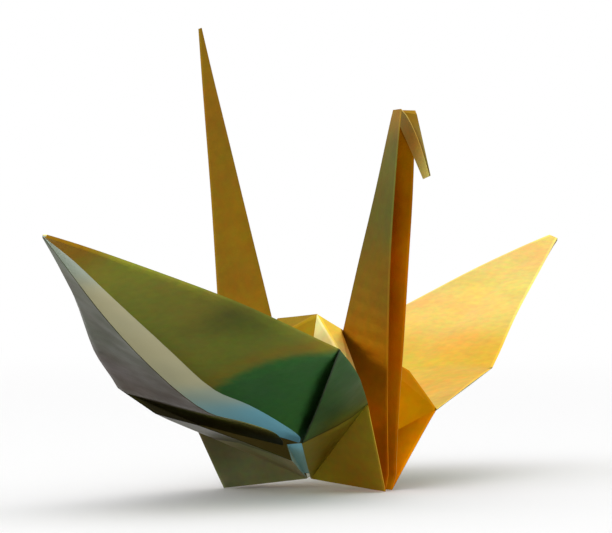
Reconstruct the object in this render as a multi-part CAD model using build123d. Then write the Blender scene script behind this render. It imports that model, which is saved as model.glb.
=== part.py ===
from build123d import *
import os
from math import atan2, cos, radians, sin, tan, tau

# An origami crane folded from one square of foil paper, standing on its keel.
# +X is the neck end, -X the tail end, -Y the near wing, +Y the far wing, +Z up.
# One uncut sheet makes the whole bird, so it is one solid.

# The sheet and its folds, in millimetres and degrees
paper_side = 150.0
paper_thickness = 0.10
layer_gap = 0.30
kite_angle = 22.5
narrow_angle = kite_angle / 2
half_side = paper_side / 2

# The legs of the base, which are reverse folded into the neck, the tail and the head
keel_depth = 10.6
leg_length = half_side - keel_depth
beak_tip_width = 0.7
tail_tip_width = 0.5
neck_length = 52.0
neck_lean = 14.1
crease_slip = 0.5
head_length = 10.3
head_drop = 65.3
tail_lean = 14.7
mitre_limit_share = 1.5
leg_steps = 7
head_steps = 4

# How far each half of a leg springs from the middle plane, in degrees: at its root,
# its growth towards the point, and the power that says how late the growth comes
leg_spreads = {
    ("near", "neck"): (6.5, 41.0, 1.15),
    ("far", "neck"): (4.8, 25.0, 2.4),
    ("near", "tail"): (8.0, -18.0, 0.4),
    ("far", "tail"): (7.0, 19.0, 1.0),
}
head_spreads = {"near": 16.0, "far": 8.0}

# The wings, with the slot between the raw edges of their under flaps
near_tip_width = 0.5
far_tip_width = 1.2
far_tip_drop = 0.5
wing_tip_widths = {"near": near_tip_width, "far": far_tip_width}
wing_tip_drops = {"near": 0.0, "far": far_tip_drop}
seam_gap = 0.4
under_lean = 20.0
wing_bow = 0.9
top_bow = 0.5
body_seam = 1.2
lining_depth = 0.4

# Heights up a wing from its hinge, as shares of the side of the sheet
corner_tip_share = 0.0412
wing_bend_share = 0.1755
wing_height_shares = (0.0, corner_tip_share, 0.09, 0.135, wing_bend_share, 0.25, 0.36, 0.45, 0.5)

# Places across half a wing, from the seam to the folded edge, as shares of its width
across_shares = (0.35, 0.70)

# Corners of the folded bird, as shares of the side of the sheet
keel_middle_share = (0.0, 0.0, 0.009)
peak_share = (0.0075, 0.0, 0.160)
valley_shares = {"neck": (0.031, 0.0, 0.147), "tail": (-0.032, 0.0, 0.1555)}
ridge_bend_shares = {
    ("near", "neck"): (0.060, -0.045, 0.112),
    ("near", "tail"): (-0.058, -0.048, 0.116),
    ("far", "neck"): (0.078, 0.050, 0.107),
    ("far", "tail"): (-0.060, 0.050, 0.116),
}
foot_shares = {
    ("near", "neck"): (0.083, -0.016, 0.0),
    ("near", "tail"): (-0.077, -0.019, 0.0),
    ("far", "neck"): (0.079, 0.0095, 0.0),
    ("far", "tail"): (-0.080, 0.021, 0.0),
}
hinge_corner_shares = {
    ("near", "neck"): (0.086, -0.061, 0.081),
    ("near", "tail"): (-0.084, -0.068, 0.063),
    ("far", "neck"): (0.102, 0.058, 0.072),
    ("far", "tail"): (-0.090, 0.070, 0.065),
}
wing_bend_shares = {
    ("near", "neck"): (0.133, -0.228, 0.136),
    ("near", "tail"): (-0.076, -0.238, 0.099),
    ("far", "neck"): (0.0845, 0.230, 0.1035),
    ("far", "tail"): (-0.112, 0.243, 0.107),
}
folded_corner_shares = {
    ("near", "neck"): (0.040, -0.105, 0.047),
    ("near", "tail"): (0.028, -0.100, 0.031),
    ("far", "neck"): (0.030, 0.105, 0.046),
    ("far", "tail"): (0.018, 0.104, 0.038),
}

# The seam of each wing, station by station from the hinge to the tip
wing_seam_shares = {
    "near": (
        (0.020, -0.066, 0.045), (0.036, -0.103, 0.054), (0.034, -0.137, 0.069),
        (0.024, -0.183, 0.088), (0.012, -0.226, 0.103), (0.008, -0.300, 0.137),
        (0.009, -0.405, 0.180), (0.010, -0.492, 0.217), (0.009, -0.539, 0.236),
    ),
    "far": (
        (0.008, 0.067, 0.047), (0.016, 0.106, 0.057), (0.014, 0.147, 0.074),
        (0.008, 0.190, 0.091), (0.005, 0.231, 0.105), (0.007, 0.303, 0.135),
        (0.015, 0.410, 0.1755), (0.021, 0.497, 0.209), (0.025, 0.546, 0.2265),
    ),
}

# How far each folded edge bellies out along the body, station by station
edge_belly_shares = {
    ("near", "neck"): (0.0, 0.003, 0.005, 0.003, 0.0, 0.0, 0.0, 0.0, 0.0),
    ("near", "tail"): (0.0, 0.0, 0.0, 0.0, 0.0, 0.008, 0.0, 0.0, 0.0),
    ("far", "neck"): (0.0, 0.0, 0.0, 0.0008, 0.0015, 0.0018, 0.0018, 0.0012, 0.0),
    ("far", "tail"): (0.0, 0.0, 0.0, 0.0, 0.0, 0.0, 0.0, 0.0, 0.0),
}

# How far the raw edge of each under flap stands back from the seam near the hinge,
# as shares of the flap's width, station by station
flap_back_shares = {
    ("near", "neck"): (0.0, 0.0, 0.0, 0.0, 0.0, 0.0, 0.0, 0.0, 0.0),
    ("near", "tail"): (0.13, 0.11, 0.04, 0.0, 0.0, 0.0, 0.0, 0.0, 0.0),
    ("far", "neck"): (0.0, 0.0, 0.0, 0.0, 0.0, 0.0, 0.0, 0.0, 0.0),
    ("far", "tail"): (0.0, 0.0, 0.0, 0.0, 0.0, 0.0, 0.0, 0.0, 0.0),
}

# The rows of a folded-over corner between the wing's edge and its loose tip: the place
# of each, as a share of the way, and how far it hangs, as a share of the sheet's side
corner_row_shares = (0.22, 0.45)
corner_hang_shares = {
    ("near", "neck"): (0.0036, 0.0036),
    ("near", "tail"): (0.0080, 0.0030),
    ("far", "neck"): (0.0036, 0.0036),
    ("far", "tail"): (0.0036, 0.0036),
}

# Where the layer behind the body's seam begins, beside the loose corners' tips, and how
# far up the seam its low end is, as a share of the seam
lining_rise_share = 0.15
lap_shares = {"near": (0.020, -0.093, 0.045), "far": (0.012, 0.095, 0.045)}

# How far each under flap gapes below the top layer at its raw edge, station by station
flap_gape_shares = {
    ("near", "neck"): (0.0, 0.0, 0.002, 0.003, 0.003, 0.003, 0.002, 0.001, 0.0),
    ("near", "tail"): (0.004, 0.007, 0.011, 0.019, 0.024, 0.027, 0.021, 0.008, 0.0),
    ("far", "neck"): (0.0, 0.0, 0.002, 0.003, 0.004, 0.004, 0.003, 0.001, 0.0),
    ("far", "tail"): (0.0, 0.001, 0.003, 0.005, 0.007, 0.008, 0.006, 0.002, 0.0),
}

sides = ("near", "far")
ends = ("neck", "tail")
way_out = {"near": -1, "far": 1}
way_along = {"neck": 1, "tail": -1}


def place(shares):
    """A corner given as shares of the sheet's side."""
    return Vector(*shares) * paper_side


keel_middle = place(keel_middle_share)


def between(start, end, part):
    return start + (end - start) * part


def closed_solid(triangles):
    """One solid inside a closed skin of triangles."""
    faces = [Face(Wire.make_polygon(corners, close=True)) for corners in triangles]
    return Solid(Shell(faces))


def facet_way(corners):
    a, b, c = corners
    return (b - a).cross(c - a).normalized()


def pair_sides(points, facets):
    """Which sides of which facets face each other across each fold.

    A fold may join two facets or more. They are sorted round it, and each gap between
    one facet and the next joins the two sides that look into it. Returns the joined
    pairs with the fold's two ends, and the free edges that only one facet has.
    """
    folds = {}
    for k, facet in enumerate(facets):
        for a, b in zip(facet, facet[1:] + facet[:1]):
            folds.setdefault(frozenset((a, b)), []).append(k)
    joined, free = [], []
    for fold, members in folds.items():
        a, b = sorted(fold, key=str)
        if len(members) == 1:
            free.append((fold, members[0]))
            continue
        axis = (points[b] - points[a]).normalized()
        spokes = {}
        for k in members:
            third = next(name for name in facets[k] if name not in fold)
            arm = points[third] - points[a]
            spokes[k] = (arm - axis * arm.dot(axis)).normalized()
        first = spokes[members[0]]
        square = axis.cross(first)
        order = sorted(
            members, key=lambda k: atan2(spokes[k].dot(square), spokes[k].dot(first)) % tau
        )
        for k, following in zip(order, order[1:] + order[:1]):
            turn = axis.cross(spokes[k])
            leading = facet_way([points[n] for n in facets[k]]).dot(turn) > 0
            turn = axis.cross(spokes[following])
            trailing = facet_way([points[n] for n in facets[following]]).dot(turn) < 0
            joined.append(((a, b), (k, leading), (following, trailing)))
    return joined, free


def thick_sheet(points, facets, thicknesses):
    """The closed skin round flat facets that share folds, each with its own thickness."""
    joined, free = pair_sides(points, facets)
    groups = {(n, k, up): {(n, k, up)} for k, f in enumerate(facets) for n in f for up in (True, False)}
    for ends_of_fold, one, other in joined:
        for name in ends_of_fold:
            here, there = groups[(name,) + one], groups[(name,) + other]
            if here is not there:
                here |= there
                for corner in there:
                    groups[corner] = here
    spots = {}
    for corner, group in groups.items():
        if id(group) not in spots:
            name = corner[0]
            total, sheets = Vector(0, 0, 0), []
            for _, k, up in group:
                facet = facets[k]
                left, right = (points[n] - points[name] for n in facet if n != name)
                way = facet_way([points[n] for n in facet]) * (1 if up else -1)
                total += way * left.get_angle(right)
                sheets.append((way, thicknesses[k]))
            way = total.normalized()
            facing = sum(way.dot(w) for w, _ in sheets) / len(sheets)
            reach = max(t for _, t in sheets) / 2 / max(facing, 1 / mitre_limit_share)
            spots[id(group)] = points[name] + way * reach
    spot = {corner: spots[id(group)] for corner, group in groups.items()}
    group_of = {corner: id(group) for corner, group in groups.items()}
    skin, rims = [], {}
    for k, (a, b, c) in enumerate(facets):
        skin.append([(a, k, True), (b, k, True), (c, k, True)])
        skin.append([(a, k, False), (c, k, False), (b, k, False)])
    for fold, k in free:
        facet = facets[k]
        a, b = next(pair for pair in zip(facet, facet[1:] + facet[:1]) if set(pair) == set(fold))
        skin.append([(b, k, True), (a, k, True), (a, k, False)])
        skin.append([(b, k, True), (a, k, False), (b, k, False)])
        rims.setdefault(a, {})[group_of[a, k, False]] = (group_of[a, k, True], (a, k, True))
        rims.setdefault(b, {})[group_of[b, k, True]] = (group_of[b, k, False], (b, k, False))
    for links in rims.values():
        while links:
            start = here = next(iter(links))
            loop = []
            while here in links:
                here, corner = links.pop(here)
                loop.append(corner)
            if here == start and len(loop) > 2:
                skin += [[loop[0], loop[m + 1], loop[m]] for m in range(1, len(loop) - 1)]
    whole = [t for t in skin if len({group_of[corner] for corner in t}) == 3]
    return [[spot[corner] for corner in t] for t in whole]


def wing_edge(side, end, station):
    """A point on a wing's folded edge: hinge corner, then bend, then tip."""
    height = wing_height_shares[station]
    hinge_corner = place(hinge_corner_shares[side, end])
    bend = place(wing_bend_shares[side, end])
    half_tip = Vector(wing_tip_widths[side] / 2, 0, -wing_tip_drops[side] / 2) * way_along[end]
    tip = place(wing_seam_shares[side][-1]) + half_tip
    belly = Vector(way_along[end] * edge_belly_shares[side, end][station] * paper_side, 0, 0)
    if height <= wing_bend_share:
        return between(hinge_corner, bend, height / wing_bend_share) + belly
    part = (height - wing_bend_share) / (wing_height_shares[-1] - wing_bend_share)
    bow = Vector(0, 0, 4 * wing_bow * part * (1 - part))
    return between(bend, tip, part) + bow + belly


def wing_names(side, station):
    """Names for the points round one wing section, in the order of wing_row."""
    m = len(across_shares)
    flap = {end: [("flap", side, end, station, k) for k in range(m + 1)] for end in ends}
    top = {end: [("top", side, end, station, k) for k in range(m)] for end in ends}
    edge = {end: ("edge", side, end, station) for end in ends}
    return (
        flap["tail"] + [edge["tail"]] + top["tail"][::-1] + [("seam", side, station)]
        + top["neck"] + [edge["neck"]] + flap["neck"][::-1]
    )


def under_way(side):
    """The way down and out from a wing's top layer to its under flaps."""
    return Vector(0, way_out[side] * sin(radians(under_lean)), -cos(radians(under_lean)))


def wing_row(side, station):
    """Points round one wing section, from one raw edge over the top layer to the other."""
    under = under_way(side)
    seam = place(wing_seam_shares[side][station])
    fullness = 1 - wing_height_shares[station] / wing_height_shares[-1]
    flaps, tops, edges = {}, {}, {}
    for end in ends:
        edge = wing_edge(side, end, station)
        gape = flap_gape_shares[side, end][station] * paper_side
        width = (edge - seam).length
        raw_place = min(seam_gap / 2 / width, across_shares[0] / 2)
        raw_place += flap_back_shares[side, end][station]
        flap = []
        for share in (raw_place,) + across_shares:
            opening = gape * (1 - share)
            flap.append(between(seam, edge, share) + under * (layer_gap + opening))
        tops[end] = [
            between(seam, edge, share) - under * (4 * top_bow * fullness * share * (1 - share))
            for share in across_shares
        ]
        flaps[end], edges[end] = flap, edge
    return (
        flaps["tail"] + [edges["tail"]] + tops["tail"][::-1] + [seam]
        + tops["neck"] + [edges["neck"]] + flaps["neck"][::-1]
    )


def add_quads(facets, rows):
    """Two facets for each cell of a grid of named corners."""
    for row, following in zip(rows, rows[1:]):
        for k in range(len(row) - 1):
            facets += [(row[k], row[k + 1], following[k + 1]), (row[k], following[k + 1], following[k])]


def add_wing(points, facets, side):
    """One wing: a top layer and two under flaps whose raw edges leave a slot."""
    rows = []
    for station in range(len(wing_height_shares)):
        names = wing_names(side, station)
        points.update(zip(names, wing_row(side, station)))
        rows.append(names)
    add_quads(facets, rows)


def leg_width(end, run):
    """Flat width of a leg from its spine to its folded edge, at a run along the spine."""
    full = leg_length * tan(radians(narrow_angle))
    tip = beak_tip_width if end == "neck" else tail_tip_width
    return full - (full - tip) * run / leg_length


def leg_frame(end):
    """The ways along a leg's spine and square to it, in the middle plane."""
    lean = radians({"neck": neck_lean, "tail": tail_lean}[end])
    along = Vector(way_along[end] * sin(lean), 0, cos(lean))
    outward = Vector(way_along[end] * cos(lean), 0, -sin(lean))
    return along, outward


def leg_edge(side, end, run, part):
    """A point on a leg's folded edge."""
    along, outward = leg_frame(end)
    root, growth, late = leg_spreads[side, end]
    angle = radians(root + growth * part ** late)
    across = outward * cos(angle) + Vector(0, way_out[side] * sin(angle), 0)
    return keel_middle + along * run + across * leg_width(end, run)


def root_run(side, end):
    """The run at which a leg's folded edge meets the ground."""
    along, outward = leg_frame(end)
    fall = -outward.Z * cos(radians(leg_spreads[side, end][0]))
    taper = (leg_width(end, 0) - leg_width(end, leg_length)) / leg_length
    return (leg_width(end, 0) * fall - keel_middle.Z) / (along.Z + taper * fall)


def add_quarter(points, facets, side, end):
    """A quarter of the body: back panel, inner web, keel triangle, skin and folded corner."""
    here = (side, end)
    ridge, foot, folded = ("ridge",) + here, ("foot",) + here, ("folded",) + here
    valley, keel, corner = ("valley", end), ("keel", end), ("edge", side, end, 0)
    points[ridge] = place(ridge_bend_shares[here])
    points[foot] = place(foot_shares[here])
    points[folded] = place(folded_corner_shares[here])
    points[valley] = place(valley_shares[end])
    points[keel] = keel_start(end)
    tops = [("top", side, end, 0, k) for k in range(len(across_shares))]
    hinge = [("seam", side, 0)] + tops + [corner]
    facets += [("peak", ridge, hinge[0])]
    facets += [(ridge, a, b) for a, b in zip(hinge, hinge[1:])]
    facets += [("peak", valley, ridge), (valley, corner, ridge), (valley, keel, corner)]
    rows = []
    for station in range(wing_height_shares.index(wing_bend_share) + 1):
        edge = ("edge", side, end, station)
        row = [edge]
        for k, share in enumerate(corner_row_shares):
            name = ("corner", side, end, station, k)
            hang = under_way(side) * corner_hang_shares[here][k] * paper_side
            points[name] = between(points[edge], points[folded], share) + hang
            row.append(name)
        rows.append(row)
    add_quads(facets, rows)
    facets += [(folded, a[-1], b[-1]) for a, b in zip(rows, rows[1:])]
    facets += [(keel, foot, corner)]
    facets += [(keel, a, b) for a, b in zip(rows[0] + [folded], rows[0][1:] + [folded]) if a != b]


def add_lining(points, facets, side):
    """The layer that shows through the body's seam, joined to the tail-end skin."""
    inward = Vector(0, -way_out[side] * lining_depth, 0)
    lap, hem = ("lap", side), ("hem", side)
    behind, low = ("behind", side), ("low", side)
    folded, keel = ("folded", side, "tail"), ("keel", "tail")
    points[lap] = place(lap_shares[side])
    points[hem] = between(points[keel], points[lap], lining_rise_share)
    points[behind] = points["folded", side, "neck"] + inward
    points[low] = between(points["keel", "neck"], points[behind], lining_rise_share)
    facets += [(keel, folded, hem), (hem, folded, lap)]
    facets += [(hem, lap, behind), (hem, behind, low)]


def keel_start(end):
    """The low end of a leg's spine, just off the middle of the keel."""
    return keel_middle + Vector(way_along[end] * body_seam / 4, 0, 0)


def add_limb(points, facets, end):
    """The neck or the tail: two halves joined at the spine, open along the other edge."""
    along, outward = leg_frame(end)
    length = neck_length if end == "neck" else leg_length
    top_run = length + (crease_rise() if end == "neck" else 0)
    rows = []
    for k in range(leg_steps + 1):
        part = k / leg_steps
        row = [("leg edge", "near", end, k), ("spine", end, k), ("leg edge", "far", end, k)]
        points[row[1]] = keel_middle + along * (length * part)
        for name, side in ((row[0], "near"), (row[2], "far")):
            start = root_run(side, end)
            points[name] = leg_edge(side, end, start + (top_run - start) * part, part)
        rows.append(row)
    rows[0] = [("foot", "near", end), ("keel", end), ("foot", "far", end)]
    add_quads(facets, rows)


def crease_rise():
    """How much higher the head's crease stands at the neck's edge than at its spine."""
    crease_angle = (90 - neck_lean + head_drop) / 2
    return leg_width("neck", neck_length) / tan(radians(crease_angle)) - crease_slip


def add_head(points, facets):
    """The point of the neck, reverse folded forward and down between its halves."""
    along, outward = leg_frame("neck")
    drop = radians(head_drop)
    way_down = Vector(cos(drop), 0, -sin(drop))
    way_front = Vector(sin(drop), 0, cos(drop))
    crown = keel_middle + along * neck_length
    rise = crease_rise()
    rows = [[("leg edge", "near", "neck", leg_steps), ("spine", "neck", leg_steps),
             ("leg edge", "far", "neck", leg_steps)]]
    for k in range(1, head_steps + 1):
        part = k / head_steps
        row = [("beak", "near", k), ("beak", "spine", k), ("beak", "far", k)]
        points[row[1]] = crown + way_down * (head_length * part)
        run = rise + (head_length - rise) * part
        width = leg_width("neck", neck_length + run)
        for name, side in ((row[0], "near"), (row[2], "far")):
            root, growth, late = leg_spreads[side, "neck"]
            rest = head_spreads[side]
            angle = radians(rest + (root + growth - rest) * (1 - part) ** 2)
            across = way_front * cos(angle) + Vector(0, way_out[side] * sin(angle), 0)
            points[name] = crown + way_down * run + across * width
        rows.append(row)
    add_quads(facets, rows)


def folded_sheet():
    """The whole crane as one thick sheet."""
    points = {"peak": place(peak_share)}
    facets = []
    for side in sides:
        add_wing(points, facets, side)
        for end in ends:
            add_quarter(points, facets, side, end)
        add_lining(points, facets, side)
    for end in ends:
        add_limb(points, facets, end)
    add_head(points, facets)
    points = {n: p for n, p in points.items() if any(n in f for f in facets)}
    return closed_solid(thick_sheet(points, facets, [paper_thickness] * len(facets)))


def rested(bird):
    """The crane with its lowest point on the ground and its box centred on the origin."""
    box = bird.bounding_box()
    return Pos(-box.center().X, -box.center().Y, -box.min.Z) * bird


if __name__ == "__main__":
    os.makedirs("parts", exist_ok=True)
    export_step(rested(folded_sheet()), "parts/folded_sheet.step")
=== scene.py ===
"""A crane folded from one square of gold foil paper, finished for a plain studio picture.

Lengths are in metres. +X is the neck end, -X the tail end, -Y the near wing, +Y the far wing.
"""

from math import atan2, cos, exp, pi, radians, sin, tan, tau

import bpy
from bpy.props import FloatProperty, FloatVectorProperty, PointerProperty
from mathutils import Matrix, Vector, noise


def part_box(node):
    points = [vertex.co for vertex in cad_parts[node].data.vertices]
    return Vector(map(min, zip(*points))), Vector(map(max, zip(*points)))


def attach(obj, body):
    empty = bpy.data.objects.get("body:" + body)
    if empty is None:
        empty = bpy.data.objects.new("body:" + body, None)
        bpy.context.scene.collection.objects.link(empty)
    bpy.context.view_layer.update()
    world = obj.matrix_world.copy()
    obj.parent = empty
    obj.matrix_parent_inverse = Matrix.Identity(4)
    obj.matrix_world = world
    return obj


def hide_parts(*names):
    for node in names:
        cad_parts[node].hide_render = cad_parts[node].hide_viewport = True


bl_info = {
    "name": "Foil Paper Crane",
    "version": (1, 0, 0),
    "blender": (4, 5, 0),
    "location": "View3D > Sidebar > Crane",
    "description": "Folds a foil paper crane, finishes its two sides and sets up a plain studio",
    "category": "Add Mesh",
}

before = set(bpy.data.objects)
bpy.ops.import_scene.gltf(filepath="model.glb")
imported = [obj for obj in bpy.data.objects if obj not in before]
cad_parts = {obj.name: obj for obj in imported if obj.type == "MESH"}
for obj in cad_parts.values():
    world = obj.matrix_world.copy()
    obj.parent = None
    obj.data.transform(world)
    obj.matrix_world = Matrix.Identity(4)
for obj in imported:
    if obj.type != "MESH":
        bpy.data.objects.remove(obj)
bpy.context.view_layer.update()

NODE = "folded_sheet"
SIDES = ("near", "far")
ENDS = ("neck", "tail")
WAY_OUT = {"near": -1, "far": 1}
WAY_ALONG = {"neck": 1, "tail": -1}

# How far each half of a leg springs from the middle plane, in degrees: at its root,
# its growth towards the point, and the power that says how late the growth comes
LEG_SPREADS = {
    ("near", "neck"): (6.5, 41.0, 1.15),
    ("far", "neck"): (4.8, 25.0, 2.4),
    ("near", "tail"): (8.0, -18.0, 0.4),
    ("far", "tail"): (7.0, 19.0, 1.0),
}
HEAD_SPREADS = {"near": 16.0, "far": 8.0}

# Heights up a wing from its hinge, as shares of the side of the sheet
WING_BEND_SHARE = 0.1755
WING_HEIGHT_SHARES = (0.0, 0.0412, 0.09, 0.135, WING_BEND_SHARE, 0.25, 0.36, 0.45, 0.5)

# Corners of the folded bird. A place is given in thousandths of the side of the sheet.
KEEL_MIDDLE = (0, 0, 9)
PEAK = (7.5, 0, 160)
VALLEYS = {"neck": (31, 0, 147), "tail": (-32, 0, 155.5)}
RIDGE_BENDS = {
    ("near", "neck"): (60, -45, 112), ("near", "tail"): (-58, -48, 116),
    ("far", "neck"): (78, 50, 107), ("far", "tail"): (-60, 50, 116),
}
FEET = {
    ("near", "neck"): (83, -16, 0), ("near", "tail"): (-77, -19, 0),
    ("far", "neck"): (79, 9.5, 0), ("far", "tail"): (-80, 21, 0),
}
HINGE_CORNERS = {
    ("near", "neck"): (86, -61, 81), ("near", "tail"): (-84, -68, 63),
    ("far", "neck"): (102, 58, 72), ("far", "tail"): (-90, 70, 65),
}
WING_BENDS = {
    ("near", "neck"): (133, -228, 136), ("near", "tail"): (-76, -238, 99),
    ("far", "neck"): (84.5, 230, 103.5), ("far", "tail"): (-112, 243, 107),
}
FOLDED_CORNERS = {
    ("near", "neck"): (40, -105, 47), ("near", "tail"): (28, -100, 31),
    ("far", "neck"): (30, 105, 46), ("far", "tail"): (18, 104, 38),
}

# The seam of each wing, station by station from the hinge to the tip
WING_SEAMS = {
    "near": (
        (20, -66, 45), (36, -103, 54), (34, -137, 69), (24, -183, 88), (12, -226, 103), (8, -300, 137),
        (9, -405, 180), (10, -492, 217), (9, -539, 236),
    ),
    "far": (
        (8, 67, 47), (16, 106, 57), (14, 147, 74), (8, 190, 91), (5, 231, 105), (7, 303, 135),
        (15, 410, 175.5), (21, 497, 209), (25, 546, 226.5),
    ),
}

# How far each folded edge bellies out along the body, station by station
NO_SHARES = (0.0,) * len(WING_HEIGHT_SHARES)
EDGE_BELLY_SHARES = {
    ("near", "neck"): (0.0, 0.003, 0.005, 0.003, 0.0, 0.0, 0.0, 0.0, 0.0),
    ("near", "tail"): (0.0, 0.0, 0.0, 0.0, 0.0, 0.008, 0.0035, 0.0012, 0.0),
    ("far", "neck"): (0.0, 0.0, 0.0, 0.0008, 0.0015, 0.0018, 0.0018, 0.0012, 0.0),
    ("far", "tail"): NO_SHARES,
}

# How far the raw edge of each under flap stands back from the seam near the hinge,
# as shares of the flap's width, station by station
FLAP_BACK_SHARES = {
    ("near", "neck"): NO_SHARES,
    ("near", "tail"): (0.13, 0.11, 0.04, 0.0, 0.0, 0.04, 0.14, 0.33, 0.40),
    ("far", "neck"): NO_SHARES,
    ("far", "tail"): NO_SHARES,
}

# The rows of a folded-over corner between the wing's edge and its loose tip: the place
# of each, as a share of the way, and how far it hangs, as a share of the sheet's side
CORNER_ROW_SHARES = (0.22, 0.45)
CORNER_HANG_SHARES = {
    ("near", "neck"): (0.0036, 0.0036),
    ("near", "tail"): (0.0080, 0.0030),
    ("far", "neck"): (0.0036, 0.0036),
    ("far", "tail"): (0.0036, 0.0036),
}

# Where the layer behind the body's seam begins, beside the loose corners' tips, and how
# far up the seam its low end is, as a share of the seam
LINING_RISE_SHARE = 0.15
LAPS = {"near": (20, -93, 45), "far": (12, 95, 45)}

# How far each under flap gapes below the top layer at its raw edge, station by station
FLAP_GAPE_SHARES = {
    ("near", "neck"): (0.0, 0.0, 0.002, 0.003, 0.003, 0.003, 0.002, 0.001, 0.0),
    ("near", "tail"): (0.004, 0.007, 0.011, 0.019, 0.024, 0.027, 0.021, 0.008, 0.0),
    ("far", "neck"): (0.0, 0.0, 0.002, 0.003, 0.004, 0.004, 0.003, 0.001, 0.0),
    ("far", "tail"): (0.0, 0.001, 0.003, 0.005, 0.007, 0.008, 0.006, 0.002, 0.0),
}


def screen_colour(*values):
    """A colour read off a screen, 0 to 255, as the linear light that a material takes."""
    def linear(value):
        value /= 255
        return value / 12.92 if value <= 0.04045 else ((value + 0.055) / 1.055) ** 2.4
    return tuple(linear(value) for value in values)


def colour_setting(name, description, *screen):
    """A colour of the foil, given as it looks on a screen."""
    return FloatVectorProperty(
        name=name, description=description, subtype="COLOR", size=3,
        min=0.0, max=1.0, default=screen_colour(*screen),
    )


def length_setting(name, description, default, least=0.0):
    """A length in metres."""
    return FloatProperty(
        name=name, description=description, default=default, min=least, precision=5, unit="LENGTH",
    )


def angle_setting(name, description, degrees):
    """An angle, given in degrees and kept in radians."""
    return FloatProperty(name=name, description=description, default=radians(degrees), unit="ROTATION")


def share_setting(name, description, default):
    """A share from none to all."""
    return FloatProperty(
        name=name, description=description, default=default, min=0.0, max=1.0, subtype="FACTOR",
    )


class CraneSheetSettings(bpy.types.PropertyGroup):
    """Sizes of the sheet and of its folds."""

    paper_side: length_setting("Paper side", "Side of the square sheet", 0.150, 0.02)
    paper_thickness: length_setting(
        "Paper thickness", "Thickness of one layer of the sheet", 0.0001, 0.00002)
    layer_gap: length_setting(
        "Layer gap", "Gap between a wing's top layer and its under flaps", 0.0003)
    keel_depth: length_setting("Keel depth", "How much of each leg is hidden in the body", 0.0106)
    beak_tip_width: length_setting(
        "Beak tip width", "Width left at the blunt point of the head", 0.0007)
    tail_tip_width: length_setting("Tail tip width", "Width left at the point of the tail", 0.0005)
    neck_length: length_setting(
        "Neck length", "Length of the neck's spine up to the head", 0.052, 0.01)
    neck_lean: angle_setting("Neck lean", "Lean of the neck from upright", 14.1)
    crease_slip: length_setting(
        "Crease slip", "How much lower the head's crease is than a true half turn", 0.0005)
    head_length: length_setting("Head length", "Length of the head's spine", 0.0103, 0.001)
    head_drop: angle_setting("Head drop", "Angle of the head below level", 65.3)
    tail_lean: angle_setting("Tail lean", "Lean of the tail from upright", 14.7)
    near_tip_width: length_setting(
        "Near wing tip width", "Width left at the point of the near wing", 0.0005)
    far_tip_width: length_setting(
        "Far wing tip width", "Width left at the blunt point of the far wing", 0.0012)
    far_tip_drop: length_setting(
        "Far wing tip drop", "Slant of the far wing's blunt point", 0.0005)
    seam_gap: length_setting(
        "Seam gap", "Gap between the raw edges of the two under flaps", 0.0004)
    wing_bow: length_setting(
        "Wing bow", "Rise of a wing's folded edge between its bend and its tip", 0.0009)
    top_bow: length_setting(
        "Top bow", "Rise of a wing's top layer between its seam and its edge", 0.0005)
    body_seam: length_setting(
        "Body seam", "Width of the slot down the middle of each side of the body", 0.0012)
    lining_depth: length_setting(
        "Lining depth", "Depth of the layer that shows through the body's seam", 0.0004)
    longest_facet: length_setting(
        "Longest facet", "Longest side that a facet of the finished mesh keeps", 0.0019, 0.0005)
    wave_height: length_setting(
        "Wave height", "Height of the soft waves that handling leaves in the paper", 0.00022)
    wave_length: length_setting(
        "Wave length", "Distance between one soft wave and the next", 0.017, 0.001)


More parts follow.
